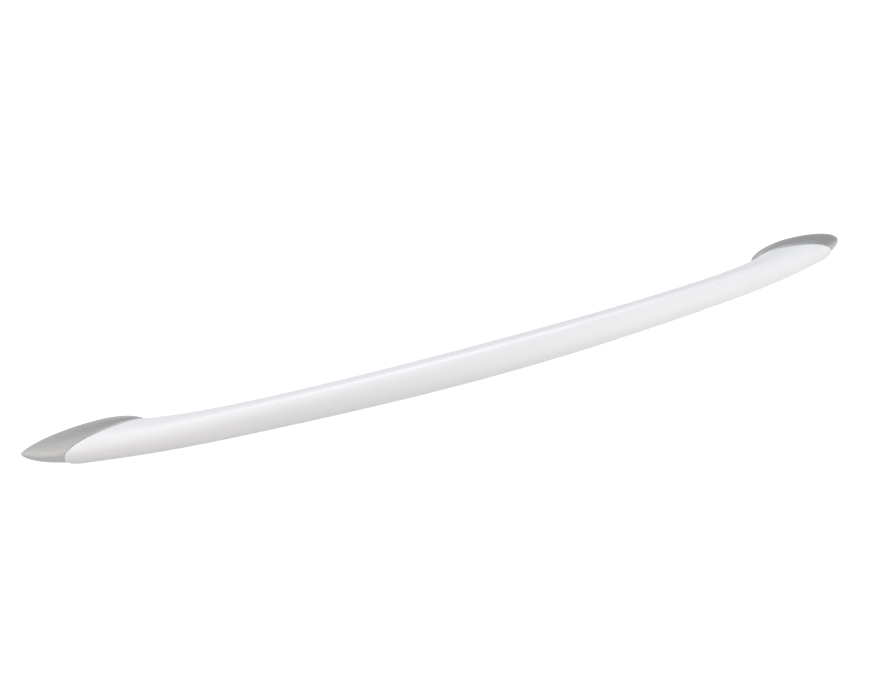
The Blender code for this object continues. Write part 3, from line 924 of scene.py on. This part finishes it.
@dataclass
class EndCap:
    """One silver end cap: a hollow moulding between the bar's slanting end and the door."""

    form: GripForm
    joint: JointSizes
    side: Side
    points: int = 112               # round each loop, as many as round the bar
    flank_rings: int = 48
    edge_steps: int = 8
    edge_radius: float = 0.5 * MM
    door_edge_radius: float = 0.25 * MM
    tip_x: float = 270 * MM         # end of the handle
    foot_length: float = 68 * MM
    tip_to_widest: float = 41 * MM
    foot_height: float = 16 * MM
    outer_point: float = 1.25       # 1 is an ellipse, more draws the foot's outer tip to a point
    inner_point: float = 1.1
    foot_land: float = 1.0 * MM     # straight edge along the door
    tip_inset: float = 2            # at its tips the hollow's outline lies this many walls in
    nose_crown: float = 3.5 * MM    # how far the slanting outer end bulges
    nose_crown_power: float = 1.5
    flank_crown: float = 0.5 * MM   # how far the upper and lower sides bulge
    flank_crown_power: float = 0.7
    wall: float = 2.0 * MM
    top: float = 2.0 * MM           # thickness under the seat
    set_back: float = 4 * MM        # how far the bar reaches past the cap at the seat's inner end
    set_back_power: float = 2       # more keeps the set-back nearer that end
    fillet: float = 0.8 * MM        # where the hollow's walls meet its ceiling
    bore_radius: float = 2.25 * MM
    bore_chamfer: float = 0.35 * MM
    sleeve_wall: float = 2.35 * MM
    draft: float = 0.25 * MM        # the sleeve is this much thicker at its root
    rib: float = 1.5 * MM
    rib_recess: float = 1.1 * MM    # ribs end this far from the door, clear of the foot's land
    key_length: float = 5.0 * MM
    key_width: float = 7.0 * MM
    key_height: float = 1.8 * MM
    key_from_fixing: float = 9.5 * MM   # along the seat, towards the handle's end
    post_rim: float = 0.5 * MM
    pin_radius: float = 1.3 * MM    # marks of the pins that push the moulding out of its tool
    pin_depth: float = 0.12 * MM
    # Of the marks: along the seat from the fixing screw, and up or down from the middle
    pin_places: tuple[tuple[float, float], ...] = ((12 * MM, 4 * MM), (18 * MM, 2.6 * MM))
    run_out: float = 6 * MM         # how far a cutter runs past the surface that it opens
    crisp_angle: float = 32         # degrees

    def build(self, finish: bpy.types.Material) -> Piece:
        """Models the cap and dresses it.

        Args:
            finish: material of the cap.

        Returns:
            The cap.
        """
        name = f"{self.side.label}_end_cap_moulding"
        cap = new_object(name, skin(name, self.shell_loops()))
        combine(cap, [self.key()], "UNION")
        combine(cap, self.cutters())
        if self.side is Side.LEFT:
            flip_side(cap)
        smooth(cap, self.crisp_angle)
        return Piece(cap, f"{self.side.label}_end_cap", "silver_plastic").dress(finish)

    def seat_outline(self, shift: float, count: int) -> Loop:
        """The bar's outline on its seat, drawn in at the inner end and moved towards the door.

        Args:
            shift: how far it is moved.
            count: points, in the order of the grip's section.

        Returns:
            The outline.
        """
        loop = []
        for angle, point in zip(ring_angles(count), self.form.seat_outline(shift, count)):
            share = max(math.cos(angle), 0.0) ** self.set_back_power
            loop.append(point + self.form.seat_along * self.set_back * share)
        return loop

    def foot_loop(self, y: float, count: int) -> Loop:
        """Leaf-shaped outline of the foot.

        Args:
            y: plane that the outline lies in.
            count: points, in the order of the grip's section.

        Returns:
            The outline.
        """
        widest = self.tip_x - self.tip_to_widest
        loop = []
        for angle in ring_angles(count):
            cosine, sine = math.cos(angle), math.sin(angle)
            inner = cosine > 0
            reach = self.foot_length - self.tip_to_widest if inner else self.tip_to_widest
            power = self.inner_point if inner else self.outer_point
            z = self.foot_height / 2 * math.copysign(abs(sine) ** power, sine)
            loop.append(Vector((widest - reach * cosine, y, z)))
        return loop

    def narrowed(self, loop: Loop, normal: Vector) -> Loop:
        """Draws an outline in by a wall, and by more at its tips, where an inset would fold.

        Args:
            loop: leaf-shaped outline.
            normal: direction that its plane faces.

        Returns:
            The hollow's outline in the same plane.
        """
        along = normal.cross(UP).normalized()
        places = [point.dot(along) for point in loop]
        middle = (max(places) + min(places)) / 2
        lengthwise = self.tip_inset * self.wall / (max(places) - middle)
        upright = self.wall / max(point.z for point in loop)
        result = []
        for point, place in zip(loop, places):
            drawn_in = point + along * (middle - place) * lengthwise
            drawn_in.z -= point.z * upright
            result.append(drawn_in)
        return result

    def shell_loops(self) -> list[Loop]:
        """Lays out the outer form of the cap.

        Returns:
            Its loops, from the face under the bar to the foot on the door.
        """
        form, count = self.form, self.points
        outline = self.seat_outline(self.joint.gap, count)
        seat_edge = rounded_edge(outline, -form.seat_normal, self.edge_radius, self.edge_steps)
        land = self.foot_loop(-self.foot_land, count)
        flank = []
        for step in range(1, self.flank_rings):
            share = step / self.flank_rings
            crown = 4 * share * (1 - share)     # 1 halfway down the flank, 0 at its edges
            loop = []
            for angle, upper, lower in zip(ring_angles(count), seat_edge[0], land):
                sine = math.sin(angle)
                bulge = crown * self.flank_crown * abs(sine) ** self.flank_crown_power
                nose = max(-math.cos(angle), 0.0) ** self.nose_crown_power
                point = upper.lerp(lower, share)
                point.z += math.copysign(bulge, sine)
                point.x += crown * self.nose_crown * nose
                loop.append(point)
            flank.append(loop)
        door_edge = rounded_edge(self.foot_loop(0.0, count), TO_DOOR, self.door_edge_radius,
                                 self.edge_steps // 2)
        return list(reversed(seat_edge)) + flank + [land] + door_edge

    def key(self) -> bpy.types.Object:
        """Models the key on the cap's top that locates it in the bar's pocket.

        Returns:
            The key, which also reaches into the cap's top.
        """
        form = self.form
        middle = form.seat_point + form.seat_along * self.key_from_fixing
        middle += form.seat_normal * (self.top - self.key_height) / 2
        size = (self.key_length, self.key_height + self.top, self.key_width)
        return block("key", middle, size, form.seat_tilt)

    def cutters(self) -> list[bpy.types.Object]:
        """Models what is taken out of the cap.

        Returns:
            The cutters: hollow round the sleeve, post and ribs, bore, chamfer, hole, pins' marks.
        """
        form, joint, steps = self.form, self.joint, self.joint.round_steps
        count = self.points // 2
        ceiling = self.narrowed(self.seat_outline(joint.gap + self.top, count), form.seat_normal)
        loops = list(reversed(rounded_edge(ceiling, -form.seat_normal, self.fillet,
                                           self.edge_steps // 2)))
        loops += [self.narrowed(self.foot_loop(-self.foot_land, count), TO_DOOR),
                  self.narrowed(self.foot_loop(self.run_out, count), TO_DOOR)]
        hollow = new_object("hollow", skin("hollow", loops))

        deep_y = -form.stand_off
        past_door = 2 * self.run_out
        sleeve_radius = self.bore_radius + self.sleeve_wall
        tip_radius = sleeve_radius - self.draft * past_door / form.seat_stand_off
        sleeve = drill("sleeve", form.fixing_x, -form.seat_stand_off, past_door,
                       sleeve_radius + self.draft, steps, tip_radius)
        screw_x = form.fixing_x - joint.screw_inboard
        post = drill("post", screw_x, deep_y, -joint.post_stand_off,
                     joint.screw_head_radius + self.post_rim, steps)
        rib_drop = form.stand_off - self.rib_recess
        rib_y = -self.rib_recess - rib_drop / 2
        rib_end = self.tip_x - self.wall
        long_rib = block("long_rib", Vector(((form.fixing_x + rib_end) / 2, rib_y, 0)),
                         (rib_end - form.fixing_x, rib_drop, self.rib))
        cross_rib = block("cross_rib", Vector((form.fixing_x, rib_y, 0)),
                          (self.rib, rib_drop, form.end_height))
        combine(hollow, [sleeve, post, long_rib, cross_rib])

        bore = drill("bore", form.fixing_x, deep_y, past_door, self.bore_radius, steps)
        # The cone starts inside the bore, so that the two don't share a ring
        chamfer_radius = self.bore_radius + self.bore_chamfer
        chamfer = drill("chamfer", form.fixing_x, -2 * self.bore_chamfer, self.bore_chamfer,
                        self.bore_radius - self.bore_chamfer, steps,
                        chamfer_radius + self.bore_chamfer)
        screw_hole = drill("screw_hole", screw_x, deep_y, self.run_out, joint.pilot_radius, steps)
        return [hollow, bore, chamfer, screw_hole] + self.pin_marks()

    def pin_marks(self) -> list[bpy.types.Object]:
        """Models the shallow marks in the hollow's ceiling, two above and two below the long rib.

        Returns:
            Their cutters.
        """
        form = self.form
        marks = []
        for distance, height in self.pin_places:
            for sign in (-1, 1):
                under = form.seat_point + form.seat_along * distance + Vector((0, 0, sign * height))
                ceiling = under + form.seat_normal * (self.joint.gap + self.top)
                marks.append(rod("pin_mark", ceiling - form.seat_normal * self.pin_depth,
                                 ceiling + form.seat_normal * self.pin_depth,
                                 self.pin_radius, self.joint.round_steps // 2))
        return marks


def turned(name: str, stations: Sequence[tuple[float, float]], steps: int, wrap: bool,
           relief: Callable[[int, float, float], float]) -> bpy.types.Object:
    """Turned piece with its axis along Y, and its first station nearest the door.

    Args:
        name: of the new object.
        stations: radius of each ring, and its height on the door's side of the piece's face.
        steps: points round each ring.
        wrap: joins the last ring to the first, as in a ring or a bush.
        relief: from a station's index, its height and an angle, what is added to its radius.

    Returns:
        The piece, centred on the origin's Y axis.
    """
    loops = []
    for index, (radius, height) in enumerate(stations):
        loop = []
        for angle in ring_angles(steps):
            reach = radius + relief(index, height, angle)
            loop.append(Vector((reach * math.cos(angle), height, reach * math.sin(angle))))
        loops.append(loop)
    return new_object(name, skin(name, loops, wrap))


@dataclass
class ThreadedInsert:
    """Brass insert in the bar's boss, with two knurled bands and an M4 thread."""

    form: GripForm
    joint: JointSizes
    side: Side
    steps: int = 144
    groove: float = 0.35 * MM       # depth of the groove and of the chamfers
    band: float = 2.5 * MM          # from each end to where the groove begins
    ridges: int = 36
    knurl_depth: float = 0.16 * MM
    minor_radius: float = 1.65 * MM
    thread_depth: float = 0.33 * MM
    pitch: float = 0.7 * MM
    rows_per_pitch: int = 10
    band_rows: int = 8
    crisp_angle: float = 50         # degrees

    def build(self, finish: bpy.types.Material) -> Piece:
        """Models the insert and dresses it.

        Args:
            finish: material of the insert.

        Returns:
            The insert.
        """
        name = f"{self.side.label}_insert"
        outer = self.outer_stations()
        inner = self.inner_stations()
        stations = outer + inner

        def relief(index: int, height: float, angle: float) -> float:
            """Knurl on the outside, thread in the bore.

            Args:
                index: of the ring.
                height: of the ring above the face.
                angle: round the ring.

            Returns:
                What is added to the ring's radius.
            """
            if index < len(outer):
                return self.knurl(stations[index][0], height, angle)
            return self.thread(height, angle)

        item = turned(name, stations, self.steps, True, relief)
        place = (self.side.value * self.form.fixing_x,
                 -self.form.seat_stand_off - self.joint.insert_recess, 0)
        item.data.transform(Matrix.Translation(place))
        smooth(item, self.crisp_angle)
        return Piece(item, f"{self.side.label}_threaded_insert", "brass").dress(finish)

    def outer_stations(self) -> list[tuple[float, float]]:
        """Lays out the outside: chamfer, knurled band, groove, knurled band, chamfer.

        Returns:
            Radius and height of its rings, from the face inwards.
        """
        radius, length = self.joint.insert_radius, self.joint.insert_length
        low = radius - self.groove
        stations = [(low, 0.0)]
        for step in range(self.band_rows + 1):
            stations.append((radius, -self.groove - (self.band - self.groove) * step / self.band_rows))
        stations.append((low, -self.band - self.groove))
        stations.append((low, -length + self.band + self.groove))
        for step in range(self.band_rows + 1):
            stations.append((radius, -length + self.band
                             - (self.band - self.groove) * step / self.band_rows))
        stations.append((low, -length))
        return stations

    def inner_stations(self) -> list[tuple[float, float]]:
        """Lays out the threaded bore.

        Returns:
            Radius and height of its rings, from its inner end back to the face.
        """
        rows = round(self.joint.insert_length / self.pitch * self.rows_per_pitch)
        length = self.joint.insert_length
        return [(self.minor_radius, -length + length * row / rows) for row in range(rows + 1)]

    def knurl(self, radius: float, height: float, angle: float) -> float:
        """Crossed knurl, which spares the chamfers and the groove.

        Args:
            radius: of the ring.
            height: of the ring above the face.
            angle: round the ring.

        Returns:
            What is added to the radius, which is below 0 in the knurl's valleys.
        """
        if radius < self.joint.insert_radius:
            return 0.0
        lean = height / self.joint.insert_radius
        first = abs(math.sin((angle + lean) * self.ridges / 2))
        second = abs(math.sin((angle - lean) * self.ridges / 2))
        return -self.knurl_depth * (1 - min(first, second))

    def thread(self, height: float, angle: float) -> float:
        """Thread, which opens out at both ends of the bore.

        Args:
            height: of the ring above the face.
            angle: round the ring.

        Returns:
            How deep the thread is cut there.
        """
        turn = (height / self.pitch - angle / math.tau) % 1.0
        groove = 1 - abs(2 * turn - 1)
        from_end = min(-height, self.joint.insert_length + height)
        lead = max(1 - from_end / self.groove, 0.0) * self.groove
        return max(self.thread_depth * groove, lead)


@dataclass
class CapScrew:
    """Thread-forming pan-head screw that holds the cap to the bar; its head faces the door."""

    form: GripForm
    joint: JointSizes
    side: Side
    steps: int = 72
    dome: float = 1.3 * MM          # radius of the head's rounded rim
    dome_rows: int = 10
    rim: float = 0.15 * MM          # height at which the head's side meets its chamfer
    rim_chamfer: float = 0.1 * MM
    root_radius: float = 1.1 * MM
    pitch: float = 1.3 * MM
    rows_per_pitch: int = 14
    point_length: float = 1.6 * MM
    tip_radius: float = 0.02 * MM   # too small to see
    plain_length: float = 0.8 * MM  # unthreaded shank under the head
    plain_share: float = 0.8        # of that length before it narrows to the thread's root
    ridge_share: float = 0.3        # of the pitch that the thread's ridge takes up
    recess_reach: float = 1.45 * MM     # from the screw's axis to the end of a slot
    recess_width: float = 0.75 * MM
    recess_depth: float = 1.25 * MM
    recess_taper: float = 0.55      # of the recess's reach that is left at its floor
    crisp_angle: float = 40         # degrees

    def build(self, finish: bpy.types.Material) -> Piece:
        """Models the screw and dresses it.

        Args:
            finish: material of the screw.

        Returns:
            The screw.
        """
        name = f"{self.side.label}_screw"
        item = turned(name, self.stations(), self.steps, False, self.thread)
        combine(item, [self.recess(turn) for turn in (0.0, math.pi / 2)])
        place = (self.side.value * (self.form.fixing_x - self.joint.screw_inboard),
                 -self.joint.post_stand_off + self.joint.gap, 0)
        item.data.transform(Matrix.Translation(place))
        smooth(item, self.crisp_angle)
        return Piece(item, f"{self.side.label}_cap_screw", "zinc_plated_steel").dress(finish)

    def stations(self) -> list[tuple[float, float]]:
        """Lays out the head, shank, thread and point.

        Returns:
            Radius and height of the rings, from the head's top down.
        """
        radius, height = self.joint.screw_head_radius, self.joint.screw_head_height
        stations = []
        for row in range(self.dome_rows + 1):
            turn = math.pi / 2 * row / self.dome_rows
            stations.append((radius - self.dome * (1 - math.sin(turn)),
                             height - self.dome * (1 - math.cos(turn))))
        stations += [(radius, self.rim), (radius - self.rim_chamfer, 0.0),
                     (self.joint.screw_radius, 0.0),
                     (self.joint.screw_radius, -self.plain_length * self.plain_share)]
        length = self.joint.screw_length
        threaded = length - self.plain_length
        rows = round(threaded / self.pitch * self.rows_per_pitch)
        for row in range(rows + 1):
            down = threaded * row / rows
            left = threaded - down
            narrowing = min(left / self.point_length, 1.0)
            stations.append((max(self.root_radius * narrowing, self.tip_radius),
                             -self.plain_length - down))
        return stations

    def thread(self, index: int, height: float, angle: float) -> float:
        """Thread, which starts below the plain shank and fades out towards the point.

        Args:
            index: of the ring, which the thread doesn't depend on.
            height: of the ring above the seat face.
            angle: round the ring.

        Returns:
            How far the thread's ridge stands out of the root.
        """
        down = -height - self.plain_length
        threaded = self.joint.screw_length - self.plain_length
        if down < 0:
            return 0.0
        turn = (height / self.pitch - angle / math.tau) % 1.0
        ridge = max(1 - abs(2 * turn - 1) / self.ridge_share, 0.0)
        fade = min(down / self.pitch, (threaded - down) / self.point_length, 1.0)
        return (self.joint.screw_radius - self.root_radius) * ridge * max(fade, 0.0)

    def recess(self, turn: float) -> bpy.types.Object:
        """Models one slot of the cross recess, which narrows towards its floor.

        Args:
            turn: of the slot about the screw's axis, in radians.

        Returns:
            Its cutter.
        """
        slot = block("recess", Vector(), (2 * self.recess_reach, 2 * self.recess_depth,
                                          self.recess_width))
        for vertex in slot.data.vertices:
            if vertex.co.y < 0:
                vertex.co.x *= self.recess_taper
        place = Matrix.Translation((0, self.joint.screw_head_height, 0))
        slot.data.transform(place @ Matrix.Rotation(turn, 4, "Y"))
        return slot


def aim(azimuth: float, elevation: float) -> Vector:
    """Finds the direction in which something stands, seen from the handle.

    Args:
        azimuth: degrees round the handle, 0 straight in front of the door.
        elevation: degrees above the horizon.

    Returns:
        The direction, of length 1.
    """
    around, above = math.radians(azimuth), math.radians(elevation)
    return Vector((math.sin(around) * math.cos(above), -math.cos(around) * math.cos(above),
                   math.sin(above)))


@dataclass(frozen=True)
class Viewpoint:
    """Camera at the photograph's angle."""

    azimuth: float = -34.531        # degrees
    elevation: float = 27.368
    roll: float = math.radians(2.516)
    distance: float = 1204.7 * MM
    focal_px: float = 2223.67
    look_x: float = -31.75 * MM     # point on the grip that the picture's middle lines up with
    look_y: float = -20 * MM
    rise: float = 6.18 * MM         # and how far above it the middle lies
    nearest: float = 10 * MM        # that the camera still sees

    def build(self) -> None:
        """Adds the camera and makes it the scene's own."""
        back = aim(self.azimuth, self.elevation)
        level = UP.cross(back).normalized()
        steep = back.cross(level)
        right = level * math.cos(self.roll) + steep * math.sin(self.roll)
        up = steep * math.cos(self.roll) - level * math.sin(self.roll)
        target = Vector((self.look_x, self.look_y, 0)) + up * self.rise
        data = bpy.data.cameras.new("camera")
        data.sensor_width = SENSOR_WIDTH
        data.lens = self.focal_px * SENSOR_WIDTH / PICTURE_WIDTH
        data.clip_start = self.nearest
        camera = bpy.data.objects.new("camera", data)
        bpy.context.scene.collection.objects.link(camera)
        camera.matrix_world = (Matrix.Translation(target + back * self.distance)
                               @ Matrix((right, up, back)).transposed().to_4x4())
        bpy.context.scene.camera = camera


@dataclass(frozen=True)
class SoftLamp:
    """Softbox that is aimed at the middle of the handle."""

    name: str
    azimuth: float                  # degrees round the handle, 0 in front of it
    elevation: float
    distance: float                 # metres
    size: float
    power: float                    # watts
    colour: str = WHITE

    def build(self) -> None:
        """Adds the lamp, which the lens itself doesn't see."""
        back = aim(self.azimuth, self.elevation)
        data = bpy.data.lights.new(self.name, "AREA")
        data.shape = "DISK"
        data.size = self.size
        data.energy = self.power
        data.color = linear(self.colour)[:3]
        lamp = bpy.data.objects.new(self.name, data)
        bpy.context.scene.collection.objects.link(lamp)
        lamp.location = back * self.distance
        lamp.visible_camera = False
        lamp.rotation_mode = "QUATERNION"
        lamp.rotation_quaternion = back.to_track_quat("Z", "Y")


@dataclass(frozen=True)
class Studio:
    """Paper floor and white sky, which light the handle softly, and four softboxes."""

    floor_size: float = 12.0        # metres
    floor_drop: float = 320 * MM    # below the handle's middle
    floor_colour: str = "A6A5A3"
    floor_roughness: float = 0.9
    floor_glow: float = 0.78        # what the lens and mirrors see on top of the lit floor
    sky_strength: float = 0.7
    dark_azimuth: float = 115       # middle of the room's darker side, in degrees
    dark_elevation: float = 38
    dark_reach: float = 57          # this many degrees from that middle no light is missing
    dark_share: float = 0.95        # of the light that is missing at the middle
    lamps: tuple[SoftLamp, ...] = (
        SoftLamp("overhead softbox", azimuth=104, elevation=62, distance=2.6, size=1.4, power=27.0,
                 colour="F3F7FF"),
        SoftLamp("left softbox", azimuth=-100, elevation=32, distance=0.82, size=0.56, power=0.53),
        SoftLamp("right front softbox", azimuth=37, elevation=-12, distance=0.5, size=0.4,
                 power=0.74),
        SoftLamp("left front softbox", azimuth=-50, elevation=16, distance=0.5, size=0.5,
                 power=0.38, colour="FFF2EA"),
    )

    def build(self) -> None:
        """Adds the floor, the sky and the lamps, and sets the plain view transform."""
        self.floor()
        self.sky()
        for lamp in self.lamps:
            lamp.build()
        bpy.context.scene.view_settings.view_transform = "Standard"

    def seen_plainly(self, tree: bpy.types.NodeTree) -> bpy.types.NodeSocket:
        """Finds out whether a ray shows its target to the lens, directly or by gloss or glass.

        Args:
            tree: node tree of the floor or the sky.

        Returns:
            Output that is 1 where it does and 0 elsewhere.
        """
        path = add_node(tree, "ShaderNodeLightPath", {})
        first = add_node(tree, "ShaderNodeMath", {0: path.outputs["Is Camera Ray"],
                                                  1: path.outputs["Is Glossy Ray"]},
                         operation="MAXIMUM")
        both = add_node(tree, "ShaderNodeMath", {0: first.outputs[0],
                                                 1: path.outputs["Is Transmission Ray"]},
                        operation="MAXIMUM")
        return both.outputs[0]

    def floor(self) -> None:
        """Adds matt paper below the handle, which glows so that the lens sees it as white."""
        half = self.floor_size / 2
        corners = [Vector((x * half, y * half, -self.floor_drop))
                   for x, y in ((-1, -1), (1, -1), (1, 1), (-1, 1))]
        mesh = bpy.data.meshes.new("floor")
        mesh.from_pydata(corners, [], [(0, 1, 2, 3)])
        paper = bpy.data.materials.new("matt paper")
        paper.use_nodes = True
        tree = paper.node_tree
        shader = tree.nodes["Principled BSDF"]
        shader.inputs["Base Color"].default_value = linear(self.floor_colour)
        shader.inputs["Roughness"].default_value = self.floor_roughness
        shader.inputs["Emission Color"].default_value = linear(WHITE)
        glow = add_node(tree, "ShaderNodeMath", {0: self.seen_plainly(tree), 1: self.floor_glow},
                        operation="MULTIPLY")
        tree.links.new(glow.outputs[0], shader.inputs["Emission Strength"])
        mesh.materials.append(paper)
        new_object("floor", mesh)

    def sky(self) -> None:
        """Adds a sky that the lens sees as plain white.

        Gloss and glass see it white too, but for the room's darker side, and what it sheds on
        matt surfaces is dimmer.
        """
        world = bpy.data.worlds.new("white room")
        world.use_nodes = True
        tree = world.node_tree
        level = add_node(tree, "ShaderNodeMapRange",
                         {"Value": self.seen_plainly(tree), "To Min": self.sky_strength,
                          "To Max": 1.0})

        direction = add_node(tree, "ShaderNodeTexCoord", {}).outputs["Generated"]
        towards = aim(self.dark_azimuth, self.dark_elevation)
        nearness = add_node(tree, "ShaderNodeVectorMath", {0: direction, 1: towards},
                            operation="DOT_PRODUCT")
        shade = add_node(tree, "ShaderNodeMapRange",
                         {"Value": nearness.outputs["Value"],
                          "From Min": math.cos(math.radians(self.dark_reach)), "From Max": 1.0,
                          "To Min": 1.0, "To Max": 1.0 - self.dark_share},
                         interpolation_type="SMOOTHSTEP")
        camera = add_node(tree, "ShaderNodeLightPath", {}).outputs["Is Camera Ray"]
        unshaded = add_node(tree, "ShaderNodeMath", {0: shade.outputs["Result"], 1: camera},
                            operation="MAXIMUM")
        strength = add_node(tree, "ShaderNodeMath",
                            {0: level.outputs["Result"], 1: unshaded.outputs[0]},
                            operation="MULTIPLY")
        background = tree.nodes["Background"]
        background.inputs["Color"].default_value = linear(WHITE)
        tree.links.new(strength.outputs[0], background.inputs["Strength"])
        bpy.context.scene.world = world


def main() -> None:
    """Builds the camera, the studio and the handle, and reports each piece."""
    Viewpoint().build()
    Studio().build()
    form = GripForm()
    joint = JointSizes()
    silver = SilverPaint().material()
    brass = TurnedBrass().material()
    zinc = ZincPlate().material()
    pieces = [GripBar(form, joint).build(MouldedWhitePlastic().material())]
    for side in Side:
        pieces.append(EndCap(form, joint, side).build(silver))
        pieces.append(ThreadedInsert(form, joint, side).build(brass))
        pieces.append(CapScrew(form, joint, side).build(zinc))
    for piece in pieces:
        piece.report()


if __name__ == "__main__":
    main()
